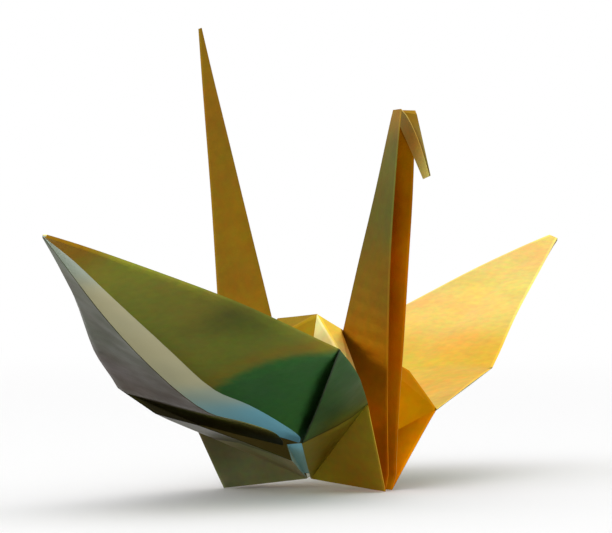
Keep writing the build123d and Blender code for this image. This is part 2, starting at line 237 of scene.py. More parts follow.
class CraneFoilSettings(bpy.types.PropertyGroup):
    """Colours painted on the foil's facets, and its finish: the foil is one even gold, and its tones are
    painted reflection, painted shade and painted highlight.
    """

    # Painted light: the foil is painted bright where it faces up, and a painted deeper tone near a wing's
    # root.
    sunlit_gold: colour_setting("Sunlit gold", "Foil that faces up", 245, 215, 114)
    deep_gold: colour_setting("Deep gold", "Foil near the root of a wing's top", 233, 190, 54)
    # Painted highlight: the palest gold is painted on the brightest ridges, edges and the peak of the back.
    highlight_gold: colour_setting("Pale gold", "The brightest ridges and edges", 236, 222, 150)
    warm_gold: colour_setting("Warm gold", "Foil on the back of the bird", 164, 122, 30)
    # Painted reflection and shade: the orange and brown tones in and beside the neck are the gold faces'
    # light on each other, painted in, darker deeper in the fold.
    amber: colour_setting("Amber", "Foil lit from inside the fold beside the neck", 189, 110, 2)
    reflected_orange: colour_setting("Rust", "Foil inside the neck", 182, 116, 2)
    umber: colour_setting("Umber", "Foil low on the neck", 172, 107, 2)
    tail_gold: colour_setting("Tail gold", "Foil on the tail", 136, 100, 18)
    bronze: colour_setting("Bronze", "Foil on the outer faces of the tail", 118, 88, 20)
    # Painted reflection: the greens under the near wing are something green reflected in the gold foil,
    # painted in.
    pine: colour_setting("Pine", "Foil on the folded-over corner of the near wing", 42, 82, 32)
    # Painted reflection: the grey at the near wing's tip is the pale surroundings reflected, painted in.
    silver: colour_setting("Silver", "Foil at the very tip of the near wing", 92, 98, 84)
    brick: colour_setting("Brick", "Foil high inside the neck", 128, 78, 2)
    # Painted shade: olive and moss are the foil painted darker where it faces down under the wings and on the
    # body and neck.
    olive: colour_setting("Olive", "Foil under the wings", 134, 135, 50)
    moss: colour_setting("Moss", "Foil on the body and the neck", 96, 97, 38)
    # Painted reflection: the green at the root of the near wing.
    reflected_green: colour_setting("Leaf green", "Foil at the root of the near wing", 62, 118, 56)
    # Painted shade and reflection on the body's sides: dimmer beside the tail, lighter towards the seam and
    # the neck.
    body_brown: colour_setting("Body brown", "Foil on the neck side of the body", 176, 151, 44)
    body_shade: colour_setting("Body shade", "Foil on the tail side of the body", 163, 158, 114)
    body_olive: colour_setting("Body olive", "Foil on the body beside its seam", 154, 155, 54)
    body_dim: colour_setting("Body dim", "Foil on the body beside the tail", 76, 70, 42)
    hollow: colour_setting("Hollow", "Paper inside the body, where only gold light reaches it", 97, 82, 31)
    chestnut: colour_setting("Chestnut", "Foil in the middle of the neck", 130, 84, 8)
    ember: colour_setting("Ember", "Foil deep in the fold below the neck", 236, 144, 4)
    beak_gold: colour_setting("Beak gold", "Foil on the head", 184, 173, 98)
    # Painted shade: the foil is painted dark under the tail half of the near wing and darker at its root.
    slate: colour_setting("Slate", "Foil under the tail half of the near wing", 62, 63, 40)
    dusk: colour_setting("Dusk", "Foil at the root of that half", 58, 47, 34)
    shadow: colour_setting("Shadow", "Foil in the deepest folds", 74, 68, 46)
    reverse_white: colour_setting("Reverse white", "The uncoated side of the sheet", 214, 216, 206)
    # Painted reflection on the white side: cream where gold beside it throws its light, greys as painted
    # shade, and sky blue where skylight falls on it.
    reverse_cream: colour_setting("Reverse cream", "The uncoated side beside gold", 190, 183, 150)
    reverse_mist: colour_setting("Reverse mist", "The uncoated side by the wing's tip", 168, 178, 166)
    reverse_pool: colour_setting("Reverse pool", "The uncoated side low in the body's seam", 104, 138, 132)
    reverse_sky: colour_setting("Reverse sky", "The uncoated side where it meets the body", 116, 178, 198)
    foil_roughness: share_setting("Foil roughness", "Roughness of the satin foil", 0.38)
    foil_metal: share_setting("Foil metal", "How much the foil reflects as metal", 1.0)
    foil_grazing: share_setting(
        "Foil grazing", "How white the foil turns where it is seen along its surface", 0.7)
    # Painted light: an emission makes the white side glow with the light it would gather from the layers
    # round it.
    reverse_glow: share_setting(
        "Reverse glow", "Light that the white side gathers from the layers round it", 0.16)
    # Painted light: an emission makes gold faces in the folds glow with the light they would throw on each
    # other.
    fold_glow: share_setting(
        "Fold glow", "Light that gold faces throw on each other in the folds", 0.45)
    # Painted shade darkens the foil along creases, and a painted highlight brightens it along outer folds,
    # each in a line of the width below.
    crease_shade: share_setting(
        "Crease shade", "What is left of the foil's colour in a pressed crease", 0.3)
    ridge_shine: FloatProperty(
        name="Ridge shine", description="How much brighter the foil is along an outer fold",
        default=1.3, min=1.0, max=4.0,
    )
    line_width: length_setting(
        "Line width", "Half width of the line that a fold leaves in the foil", 0.00028, 0.00002)


class CraneStageSettings(bpy.types.PropertyGroup):
    """The floor and the camera."""

    floor_colour: FloatVectorProperty(
        name="Floor colour", description="Colour of the floor", subtype="COLOR", size=3,
        min=0.0, max=1.0, default=(0.90, 0.90, 0.90),
    )
    floor_size: length_setting("Floor size", "Radius of the floor", 3.0, 0.5)
    camera_side_angle: angle_setting(
        "Camera side angle", "How far the camera stands round towards the neck", 24.49)
    camera_height_angle: angle_setting("Camera height angle", "How far the camera looks down", 0.82)
    camera_distance: length_setting(
        "Camera distance", "Distance from the camera to the bird", 0.663, 0.1)
    lens_length: FloatProperty(
        name="Lens", description="Focal length in millimetres", default=283.3, min=10.0,
    )


def place(thousandths):
    """A place given in thousandths of the sheet's side."""
    return Vector(thousandths) * (bpy.context.scene.crane_sheet.paper_side / 1000)


def between(start, end, part):
    return start + (end - start) * part


def part_way(value, low, high):
    """How far a value is on its way from low to high, from 0 to 1."""
    return min(max((value - low) / (high - low), 0.0), 1.0)


def arch(part):
    """A smooth arch that is 0 at both ends of its way and 1 half way along."""
    return 4 * part * (1 - part)


def smooth_row(rows, share):
    """A value between the stations of a wing, on a smooth curve through them all."""
    stations = WING_HEIGHT_SHARES
    last = len(stations) - 1
    k = max(m for m in range(last) if stations[m] <= share)
    width = stations[k + 1] - stations[k]
    part = (share - stations[k]) / width
    def slope(m):
        low, high = max(m - 1, 0), min(m + 1, last)
        return (rows[high] - rows[low]) / (stations[high] - stations[low])
    square, cube = part ** 2, part ** 3
    return (
        rows[k] * (2 * cube - 3 * square + 1) + rows[k + 1] * (3 * square - 2 * cube)
        + slope(k) * (width * (cube - 2 * square + part)) + slope(k + 1) * (width * (cube - square))
    )


# How many rows a wing has for each of its stations, and where its columns are between
# the seam and the folded edge
ROWS_PER_STATION = 4
ACROSS_SHARES = (0.12, 0.35, 0.55, 0.75, 0.92)


def fine_heights():
    """Heights of the rows across a wing, in step with its stations."""
    heights = []
    for low, high in zip(WING_HEIGHT_SHARES, WING_HEIGHT_SHARES[1:]):
        heights += [between(low, high, k / ROWS_PER_STATION) for k in range(ROWS_PER_STATION)]
    return heights + [WING_HEIGHT_SHARES[-1]]


def seam_point(side, height):
    return smooth_row([place(spot) for spot in WING_SEAMS[side]], height)


def wing_tip(side, end):
    """The point of a wing's neck or tail edge, half its blunt end off the seam."""
    sizes = bpy.context.scene.crane_sheet
    width = {"near": sizes.near_tip_width, "far": sizes.far_tip_width}[side]
    drop = {"near": 0.0, "far": sizes.far_tip_drop}[side]
    return place(WING_SEAMS[side][-1]) + Vector((width / 2, 0, -drop / 2)) * WAY_ALONG[end]


def wing_edge(side, end, height):
    """A point on a wing's folded edge: hinge corner, then bend, then tip."""
    sizes = bpy.context.scene.crane_sheet
    corner = place(HINGE_CORNERS[side, end])
    bend = place(WING_BENDS[side, end])
    out = WAY_ALONG[end] * smooth_row(EDGE_BELLY_SHARES[side, end], height) * sizes.paper_side
    belly = Vector((out, 0, 0))
    if height <= WING_BEND_SHARE:
        return between(corner, bend, height / WING_BEND_SHARE) + belly
    part = (height - WING_BEND_SHARE) / (WING_HEIGHT_SHARES[-1] - WING_BEND_SHARE)
    bow = Vector((0, 0, sizes.wing_bow * arch(part)))
    return between(bend, wing_tip(side, end), part) + bow + belly


# How far the way from a wing's top layer to its under flaps leans out from straight down
UNDER_LEAN = radians(20.0)


def under_way(side):
    """The way down and out from a wing's top layer to its under flaps."""
    return Vector((0, WAY_OUT[side] * sin(UNDER_LEAN), -cos(UNDER_LEAN)))


def wing_row(side, height):
    """Named points round one wing section, from one raw edge over the top layer to the other."""
    sizes = bpy.context.scene.crane_sheet
    under = under_way(side)
    seam = seam_point(side, height)
    rise = sizes.top_bow * (1 - height / WING_HEIGHT_SHARES[-1])
    halves = {}
    for end in ENDS:
        edge = wing_edge(side, end, height)
        gape = max(smooth_row(FLAP_GAPE_SHARES[side, end], height), 0) * sizes.paper_side
        raw_place = min(sizes.seam_gap / 2 / (edge - seam).length, ACROSS_SHARES[0] / 2)
        raw_place += max(smooth_row(FLAP_BACK_SHARES[side, end], height), 0)
        half = [
            (("top", side, end, height, k), between(seam, edge, share) - under * (rise * arch(share)))
            for k, share in enumerate(ACROSS_SHARES)
        ]
        half.append((("edge", side, end, height), edge))
        for k, share in reversed(list(enumerate((0.0,) + ACROSS_SHARES))):
            part = between(raw_place, 1, share)
            depth = sizes.layer_gap + gape * (1 - part)
            half.append((("flap", side, end, height, k), between(seam, edge, part) + under * depth))
        halves[end] = half
    return halves["tail"][::-1] + [(("seam", side, height), seam)] + halves["neck"]


class FoldedSheet:
    """Flat facets that share folds, each with the name of its region of the sheet."""

    def __init__(self):
        self.points = {}
        self.facets = []
        self.regions = []
        self.creases = []
        self.ridges = []

    def lines(self, *rows):
        """The straight pieces of rows of named points."""
        return [(self.points[a], self.points[b]) for row in rows for a, b in zip(row, row[1:])]

    def add(self, region, *facets):
        for facet in facets:
            self.facets.append(facet)
            self.regions.append(region)

    def add_quads(self, region_of, rows):
        """Two facets for each cell of a grid of named corners."""
        for row, following in zip(rows, rows[1:]):
            for k in range(len(row) - 1):
                region = region_of(row[k], row[k + 1])
                far_corner = following[k + 1]
                self.add(region, (row[k], row[k + 1], far_corner), (row[k], far_corner, following[k]))

    def refine(self, longest):
        """Splits every side that is too long, in step on all the facets that share it."""
        while True:
            middles = {}
            for facet in self.facets:
                for a, b in zip(facet, facet[1:] + facet[:1]):
                    side = frozenset((a, b))
                    if side not in middles and (self.points[a] - self.points[b]).length > longest:
                        middles[side] = ("middle", len(self.points))
                        self.points[middles[side]] = (self.points[a] + self.points[b]) / 2
            if not middles:
                return
            facets, regions = [], []
            for facet, region in zip(self.facets, self.regions):
                pieces = split_facet(facet, middles)
                facets += pieces
                regions += [region] * len(pieces)
            self.facets, self.regions = facets, regions


def split_facet(facet, middles):
    """The pieces of a facet whose long sides have a middle point."""
    mids = [middles.get(frozenset(pair)) for pair in zip(facet, facet[1:] + facet[:1])]
    count = sum(mid is not None for mid in mids)
    if count == 0:
        return [facet]
    turn = {1: lambda m: m[0], 2: lambda m: m[0] and m[1], 3: lambda m: True}[count]
    while not turn(mids):
        facet, mids = facet[1:] + facet[:1], mids[1:] + mids[:1]
    a, b, c = facet
    ab, bc, ca = mids
    if count == 1:
        return [(a, ab, c), (ab, b, c)]
    if count == 2:
        return [(ab, b, bc), (a, ab, bc), (a, bc, c)]
    return [(a, ab, ca), (ab, b, bc), (ca, bc, c), (ab, bc, ca)]


def add_wing(sheet, side):
    """One wing: a top layer and two under flaps whose raw edges leave a slot."""
    rows = []
    for height in fine_heights():
        row = wing_row(side, height)
        sheet.points.update(row)
        rows.append([name for name, _ in row])

    def region_of(one, other):
        name = other if one[0] in ("edge", "seam") else one
        return name[:3]

    sheet.add_quads(region_of, rows)
    for end in ENDS:
        sheet.ridges += sheet.lines([("edge", side, end, height) for height in fine_heights()])


def leg_length():
    sizes = bpy.context.scene.crane_sheet
    return sizes.paper_side / 2 - sizes.keel_depth


# Half the angle of a leg's point, as the folds of the bird base leave it
NARROW_ANGLE = radians(11.25)


def leg_width(end, run):
    """Flat width of a leg from its spine to its folded edge, at a run along the spine."""
    sizes = bpy.context.scene.crane_sheet
    full = leg_length() * tan(NARROW_ANGLE)
    tip = sizes.beak_tip_width if end == "neck" else sizes.tail_tip_width
    return full - (full - tip) * run / leg_length()


def leg_frame(end):
    """The ways along a leg's spine and square to it, in the middle plane."""
    sizes = bpy.context.scene.crane_sheet
    lean = {"neck": sizes.neck_lean, "tail": sizes.tail_lean}[end]
    along = Vector((WAY_ALONG[end] * sin(lean), 0, cos(lean)))
    outward = Vector((WAY_ALONG[end] * cos(lean), 0, -sin(lean)))
    return along, outward


def leg_edge(side, end, run, part):
    """A point on a leg's folded edge."""
    along, outward = leg_frame(end)
    root, growth, late = LEG_SPREADS[side, end]
    angle = radians(root + growth * part ** late)
    across = outward * cos(angle) + Vector((0, WAY_OUT[side] * sin(angle), 0))
    return place(KEEL_MIDDLE) + along * run + across * leg_width(end, run)


def root_run(side, end):
    """The run at which a leg's folded edge meets the ground."""
    along, outward = leg_frame(end)
    fall = -outward.z * cos(radians(LEG_SPREADS[side, end][0]))
    taper = (leg_width(end, 0) - leg_width(end, leg_length())) / leg_length()
    return (leg_width(end, 0) * fall - place(KEEL_MIDDLE).z) / (along.z + taper * fall)


def keel_start(end):
    """The low end of a leg's spine, just off the middle of the keel."""
    step = WAY_ALONG[end] * bpy.context.scene.crane_sheet.body_seam / 4
    return place(KEEL_MIDDLE) + Vector((step, 0, 0))


def add_quarter(sheet, side, end):
    """A quarter of the body: back panel, inner web, keel triangle, pocket skin and corner."""
    paper_side = bpy.context.scene.crane_sheet.paper_side
    here = (side, end)
    ridge, foot, folded = ("ridge",) + here, ("foot",) + here, ("folded",) + here
    valley, keel, corner = ("valley", end), ("keel", end), ("edge", side, end, 0.0)
    sheet.points[ridge] = place(RIDGE_BENDS[here])
    sheet.points[foot] = place(FEET[here])
    sheet.points[folded] = place(FOLDED_CORNERS[here])
    sheet.points[valley] = place(VALLEYS[end])
    sheet.points[keel] = keel_start(end)
    tops = [("top", side, end, 0.0, k) for k in range(len(ACROSS_SHARES))]
    hinge = [("seam", side, 0.0)] + tops + [corner]
    sheet.add(("back",) + here, ("peak", ridge, hinge[0]), *((ridge, a, b) for a, b in zip(hinge, hinge[1:])))
    sheet.add(("web",) + here, ("peak", valley, ridge), (valley, corner, ridge), (valley, keel, corner))
    rows = []
    for height in fine_heights():
        if height > WING_BEND_SHARE:
            break
        edge = ("edge", side, end, height)
        row = [edge]
        for k, share in enumerate(CORNER_ROW_SHARES):
            name = ("corner", side, end, height, k)
            hang = under_way(side) * (CORNER_HANG_SHARES[here][k] * paper_side)
            sheet.points[name] = between(sheet.points[edge], sheet.points[folded], share) + hang
            row.append(name)
        rows.append(row)
    sheet.creases += sheet.lines(rows[0] + [folded], rows[-1] + [folded])
    sheet.ridges += sheet.lines((foot, corner), (corner, ridge), (ridge, "peak"))
    sheet.add_quads(lambda one, other: ("corner",) + here, rows)
    sheet.add(("corner",) + here, *((folded, a[-1], b[-1]) for a, b in zip(rows, rows[1:])))
    first = rows[0] + [folded]
    sheet.add(("lip",) + here, (keel, foot, corner))
    sheet.add(("skin",) + here, *((keel, a, b) for a, b in zip(first, first[1:])))


def add_lining(sheet, side):
    """The layer that shows through the body's seam, joined to the tail-end skin."""
    inward = Vector((0, -WAY_OUT[side] * bpy.context.scene.crane_sheet.lining_depth, 0))
    lap, hem = ("lap", side), ("hem", side)
    behind, low = ("behind", side), ("low", side)
    folded, keel = ("folded", side, "tail"), ("keel", "tail")
    sheet.points[lap] = place(LAPS[side])
    sheet.points[hem] = between(sheet.points[keel], sheet.points[lap], LINING_RISE_SHARE)
    sheet.points[behind] = sheet.points["folded", side, "neck"] + inward
    sheet.points[low] = between(sheet.points["keel", "neck"], sheet.points[behind], LINING_RISE_SHARE)
    sheet.add(("skin", side, "tail"), (keel, folded, hem), (hem, folded, lap))
    sheet.add(("lining", side, "tail"), (hem, lap, behind), (hem, behind, low))


# Rows along a leg and along the head
LEG_STEPS = 24
HEAD_STEPS = 8


def crease_rise():
    """How much higher the head's crease stands at the neck's edge than at its spine."""
    sizes = bpy.context.scene.crane_sheet
    crease_angle = (pi / 2 - sizes.neck_lean + sizes.head_drop) / 2
    return leg_width("neck", sizes.neck_length) / tan(crease_angle) - sizes.crease_slip


def limb_region(kind, end):
    """Names the region of each cell of a limb's grid."""
    def region_of(one, other):
        return (kind, "near" if "near" in one + other else "far", end)
    return region_of


def add_limb(sheet, end):
    """The neck or the tail: two halves joined at the spine, open along the other edge."""
    along, _ = leg_frame(end)
    neck = end == "neck"
    length = bpy.context.scene.crane_sheet.neck_length if neck else leg_length()
    top_run = length + (crease_rise() if neck else 0)
    rows = []
    for k in range(LEG_STEPS + 1):
        part = k / LEG_STEPS
        row = [("leg edge", "near", end, k), ("spine", end, k), ("leg edge", "far", end, k)]
        sheet.points[row[1]] = place(KEEL_MIDDLE) + along * (length * part)
        for name, side in ((row[0], "near"), (row[2], "far")):
            start = root_run(side, end)
            sheet.points[name] = leg_edge(side, end, start + (top_run - start) * part, part)
        rows.append(row)
    rows[0] = [("foot", "near", end), ("keel", end), ("foot", "far", end)]
    sheet.ridges += sheet.lines([row[0] for row in rows], [row[2] for row in rows])
    sheet.add_quads(limb_region("leg", end), rows)


def add_head(sheet):
    """The point of the neck, reverse folded forward and down between its halves."""
    sizes = bpy.context.scene.crane_sheet
    along, _ = leg_frame("neck")
    way_down = Vector((cos(sizes.head_drop), 0, -sin(sizes.head_drop)))
    way_front = Vector((sin(sizes.head_drop), 0, cos(sizes.head_drop)))
    crown = place(KEEL_MIDDLE) + along * sizes.neck_length
    rise = crease_rise()
    rows = [[("leg edge", "near", "neck", LEG_STEPS), ("spine", "neck", LEG_STEPS),
             ("leg edge", "far", "neck", LEG_STEPS)]]
    for k in range(1, HEAD_STEPS + 1):
        part = k / HEAD_STEPS
        row = [("beak", "near", k), ("beak", "spine", k), ("beak", "far", k)]
        sheet.points[row[1]] = crown + way_down * (sizes.head_length * part)
        run = rise + (sizes.head_length - rise) * part
        width = leg_width("neck", sizes.neck_length + run)
        for name, side in ((row[0], "near"), (row[2], "far")):
            root, growth, _ = LEG_SPREADS[side, "neck"]
            rest = HEAD_SPREADS[side]
            angle = radians(rest + (root + growth - rest) * (1 - part) ** 2)
            across = way_front * cos(angle) + Vector((0, WAY_OUT[side] * sin(angle), 0))
            sheet.points[name] = crown + way_down * run + across * width
        rows.append(row)
    sheet.add_quads(limb_region("head", "neck"), rows)


def facet_way(corners):
    a, b, c = corners
    return (b - a).cross(c - a).normalized()


def pair_sides(points, facets):
    """Which sides of which facets face each other across each fold.

    A fold may join two facets or more. They are sorted round it, and each gap between
    one facet and the next joins the two sides that look into it. Returns the joined
    pairs with the fold's two ends, and the free edges that only one facet has.
    """
    ways = [facet_way([points[n] for n in facet]) for facet in facets]
    folds = {}
    for k, facet in enumerate(facets):
        for a, b in zip(facet, facet[1:] + facet[:1]):
            folds.setdefault(frozenset((a, b)), []).append(k)
    joined, free = [], []
    for fold, members in folds.items():
        a, b = sorted(fold, key=str)
        if len(members) == 1:
            free.append((fold, members[0]))
            continue
        axis = (points[b] - points[a]).normalized()
        spokes = {}
        for k in members:
            third = next(name for name in facets[k] if name not in fold)
            arm = points[third] - points[a]
            spokes[k] = (arm - axis * arm.dot(axis)).normalized()
        first = spokes[members[0]]
        square = axis.cross(first)
        order = sorted(
            members, key=lambda k: atan2(spokes[k].dot(square), spokes[k].dot(first)) % tau
        )
        for k, following in zip(order, order[1:] + order[:1]):
            leading = ways[k].dot(axis.cross(spokes[k])) > 0
            trailing = ways[following].dot(axis.cross(spokes[following])) < 0
            joined.append(((a, b), (k, leading), (following, trailing)))
    return joined, free


# The furthest that a corner of the skin may stand off its fold, in half thicknesses
MITRE_LIMIT = 1.5


def thick_sheet(points, facets, thickness):
    """The closed skin round the facets: its vertices, their names and its triangles.

    Each triangle comes with its facet's number and the side of the facet that it covers,
    or None where it closes an edge of the paper.
    """
    joined, free = pair_sides(points, facets)
    groups = {}
    for k, facet in enumerate(facets):
        for name in facet:
            for up in (True, False):
                groups[name, k, up] = {(name, k, up)}
    for ends_of_fold, one, other in joined:
        for name in ends_of_fold:
            here, there = groups[(name,) + one], groups[(name,) + other]
            if here is not there:
                here |= there
                for corner in there:
                    groups[corner] = here
    vertices, names, number_of = [], [], {}
    for corner, group in groups.items():
        if id(group) in number_of:
            continue
        name = corner[0]
        total, ways = Vector(), []
        for _, k, up in group:
            left, right = (points[n] - points[name] for n in facets[k] if n != name)
            way = facet_way([points[n] for n in facets[k]]) * (1 if up else -1)
            total += way * left.angle(right)
            ways.append(way)
        way = total.normalized()
        facing = sum(way.dot(w) for w in ways) / len(ways)
        number_of[id(group)] = len(vertices)
        names.append(name)
        vertices.append(points[name] + way * (thickness / 2 / max(facing, 1 / MITRE_LIMIT)))
    number = {corner: number_of[id(group)] for corner, group in groups.items()}
    skin, rims = [], {}
    for k, (a, b, c) in enumerate(facets):
        skin.append(([(a, k, True), (b, k, True), (c, k, True)], k, True))
        skin.append(([(a, k, False), (c, k, False), (b, k, False)], k, False))
    for fold, k in free:
        facet = facets[k]
        a, b = next(pair for pair in zip(facet, facet[1:] + facet[:1]) if set(pair) == set(fold))
        skin.append(([(b, k, True), (a, k, True), (a, k, False)], k, None))
        skin.append(([(b, k, True), (a, k, False), (b, k, False)], k, None))
        rims.setdefault(a, {})[number[a, k, False]] = (number[a, k, True], (a, k, True))
        rims.setdefault(b, {})[number[b, k, True]] = (number[b, k, False], (b, k, False))
    for links in rims.values():
        while links:
            start = here = next(iter(links))
            loop = []
            while here in links:
                here, corner = links.pop(here)
                loop.append(corner)
            if here == start and len(loop) > 2:
                skin += [([loop[0], loop[m + 1], loop[m]], loop[0][1], None) for m in range(1, len(loop) - 1)]
    triangles = [([number[corner] for corner in t], k, up) for t, k, up in skin]
    return vertices, names, [(t, k, up) for t, k, up in triangles if len(set(t)) == 3]


# Where in the noise the waves are taken from, and the seed of the noise's own offsets,
# which differ from run to run without it
WAVE_START = Vector((3, -3, 3))
WAVE_SEED = 3


def wave(spot, length):
    """A smooth push on a point, the same for all the layers that lie there."""
    return noise.noise_vector(spot / length + WAVE_START)


def fold_crane():
    """The facets of the whole bird, with the soft waves of handled paper."""
    sizes = bpy.context.scene.crane_sheet
    sheet = FoldedSheet()
    sheet.points["peak"] = place(PEAK)
    for side in SIDES:
        add_wing(sheet, side)
        for end in ENDS:
            add_quarter(sheet, side, end)
        add_lining(sheet, side)
    for end in ENDS:
        add_limb(sheet, end)
    add_head(sheet)
    used = {name for facet in sheet.facets for name in facet}
    sheet.points = {name: spot for name, spot in sheet.points.items() if name in used}
    sheet.refine(sizes.longest_facet)
    return sheet


def own_box(spots):
    """The box round the bird where it is folded, before it is set on the ground."""
    return [Vector([pick(spot[k] for spot in spots) for k in range(3)]) for pick in (min, max)]


def fit_to_node(spots):
    """The bird moved and scaled, by a hair, to fill the box of its solid."""
    low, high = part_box(NODE)
    own_low, own_high = own_box(spots)
    scale = Vector([(high[k] - low[k]) / (own_high[k] - own_low[k]) for k in range(3)])
    return [Vector([low[k] + (spot[k] - own_low[k]) * scale[k] for k in range(3)]) for spot in spots]


# Where each painted colour of the foil is strongest on a region of the sheet. The foil is one even gold;
# these tints are painted reflection, painted shade and painted highlight.
TINTS = {
    ("flap", "near", "neck"): (
        ("tail_gold", (12, -520, 228)),
        ("olive", (50, -440, 205), (60, -360, 172), (30, -300, 135), (120, -245, 140)),
        ("moss", (80, -330, 165)),
    ),
    ("flap", "near", "tail"): (
        ("silver", (7, -535, 232), (0, -500, 212)), ("slate", (-10, -440, 190), (-30, -380, 160)),
        ("dusk", (-60, -270, 112), (-20, -230, 98)), ("olive", (-10, -150, 68)),
        ("shadow", (15, -80, 48)),
    ),
    ("corner", "near", "neck"): (
        ("pine", (115, -180, 115), (85, -130, 80), (95, -90, 88)), ("reflected_green", (50, -105, 55)),
        ("olive", (68, -78, 66)),
    ),
    ("corner", "near", "tail"): (
        ("dusk", (-72, -230, 96)), ("shadow", (-50, -170, 74), (-30, -130, 56), (-75, -90, 66)),
        ("moss", (15, -103, 36)),
    ),
    ("skin", "near", "neck"): (
        ("body_olive", (80, -50, 60), (30, -60, 25)), ("body_brown", (70, -20, 20)),
    ),
    ("skin", "near", "tail"): (
        ("body_dim", (-84, -67, 62), (-70, -62, 54)),
        ("body_shade", (-45, -45, 35), (-25, -50, 20), (10, -60, 15)),
    ),
    ("back", "near", "neck"): (
        ("highlight_gold", (12, -10, 155), (42, -40, 122)), ("warm_gold", (18, -35, 130), (50, -60, 80)),
    ),
    ("back", "near", "tail"): (("tail_gold", (-15, -25, 143)), ("deep_gold", (-55, -55, 100)),),
    ("back", "far", "neck"): (("deep_gold", (20, 30, 140), (60, 55, 95)),),
    ("back", "far", "tail"): (("deep_gold", (-20, 30, 140)), ("warm_gold", (-60, 60, 90)),),
    ("web", "near", "neck"): (
        ("deep_gold", (20, -10, 150), (60, -30, 70)), ("highlight_gold", (56, -40, 116)),
    ),
    ("web", "near", "tail"): (("warm_gold", (-20, -10, 155), (-50, -40, 110)),),
    ("web", "far", "neck"): (
        ("umber", (85, 50, 95)), ("amber", (70, 40, 70)), ("ember", (40, 20, 30)),
        ("warm_gold", (25, 10, 148)),
    ),
    ("web", "far", "tail"): (("warm_gold", (-20, 10, 155), (-60, 40, 100)),),
    ("top", "far", "neck"): (
        ("sunlit_gold", (30, 520, 218), (50, 380, 165)), ("deep_gold", (80, 230, 100), (90, 80, 72)),
    ),
    ("top", "far", "tail"): (
        ("sunlit_gold", (10, 500, 212), (-40, 380, 160)), ("deep_gold", (-80, 230, 98), (-80, 90, 68)),
    ),
    ("top", "near", "neck"): (
        ("sunlit_gold", (20, -500, 220)), ("deep_gold", (100, -250, 130)),
        ("warm_gold", (80, -80, 80)),
    ),
    ("top", "near", "tail"): (
        ("sunlit_gold", (0, -500, 215)), ("deep_gold", (-60, -250, 110)),
        ("warm_gold", (-70, -80, 65)),
    ),
    ("flap", "far", "neck"): (("tail_gold", (30, 500, 205)), ("olive", (70, 260, 110), (50, 120, 60)),),
    ("flap", "far", "tail"): (
        ("tail_gold", (0, 500, 205)), ("olive", (-80, 260, 105)), ("moss", (-40, 120, 60)),
    ),
    ("corner", "far", "neck"): (("olive", (80, 150, 80)), ("body_brown", (40, 110, 50)),),
    ("corner", "far", "tail"): (("moss", (-80, 150, 80)), ("body_brown", (0, 110, 45)),),
    ("skin", "far", "neck"): (("tail_gold", (80, 50, 60)), ("body_brown", (20, 60, 20)),),
    ("lip", "near", "neck"): (("body_brown", (80, -30, 30)),),
    ("lip", "near", "tail"): (
        ("body_dim", (-84, -65, 60), (-84, -30, 30)), ("body_shade", (-50, -12, 8), (-15, -5, 10)),
    ),
    ("lip", "far", "neck"): (("tail_gold", (80, 30, 30)),),
    ("lip", "far", "tail"): (("tail_gold", (-80, 30, 30)),),
    ("lining", "near", "tail"): (("warm_gold", (0, -60, 30)),),
    ("lining", "far", "tail"): (("warm_gold", (0, 60, 30)),),
    ("skin", "far", "tail"): (("tail_gold", (-80, 50, 60)), ("body_brown", (0, 60, 20)),),
    ("leg", "near", "neck"): (
        ("warm_gold", (90, -10, 352)), ("moss", (95, -15, 310), (95, -15, 250)),
        ("bronze", (90, -15, 190)), ("chestnut", (80, -10, 130)), ("umber", (70, -10, 40)),
    ),
    ("leg", "far", "neck"): (("bronze", (120, 10, 330)), ("warm_gold", (100, 10, 220), (70, 10, 60)),),
    ("leg", "near", "tail"): (
        ("bronze", (-110, -5, 400), (-80, -10, 200)), ("tail_gold", (-60, -10, 150)),
    ),
    ("leg", "far", "tail"): (("bronze", (-110, 5, 400)), ("tail_gold", (-80, 10, 200)),),
    ("head", "near", "neck"): (
        ("beak_gold", (90, -3, 345), (115, -2, 290)), ("warm_gold", (103, -4, 320)),
    ),
    ("head", "far", "neck"): (("tail_gold", (90, 3, 345)), ("beak_gold", (115, 2, 290)),),
}

# The same painted reflection and shade for the inner sides of the legs, the head and the lips beside the keel
INSIDE_TINTS = {
    ("leg", "near", "neck"): (("umber", (110, 0, 250), (80, 0, 50)),),
    ("leg", "far", "neck"): (
        ("brick", (120, 10, 330), (110, 10, 260)), ("reflected_orange", (95, 10, 190), (70, 10, 60)),
    ),
    ("leg", "near", "tail"): (("bronze", (-80, 0, 200)),),
    ("leg", "far", "tail"): (("tail_gold", (-80, 0, 200)),),
    ("head", "near", "neck"): (("warm_gold", (100, -4, 320)),),
    ("head", "far", "neck"): (("tail_gold", (90, 3, 345)), ("beak_gold", (115, 2, 290)),),
    ("lip", "near", "neck"): (("umber", (80, -20, 30)),),
    ("lip", "near", "tail"): (("tail_gold", (-80, -20, 30)),),
    ("lip", "far", "neck"): (("amber", (100, 55, 70)), ("ember", (80, 15, 20)),),
    ("lip", "far", "tail"): (("tail_gold", (-80, 20, 30)),),
}

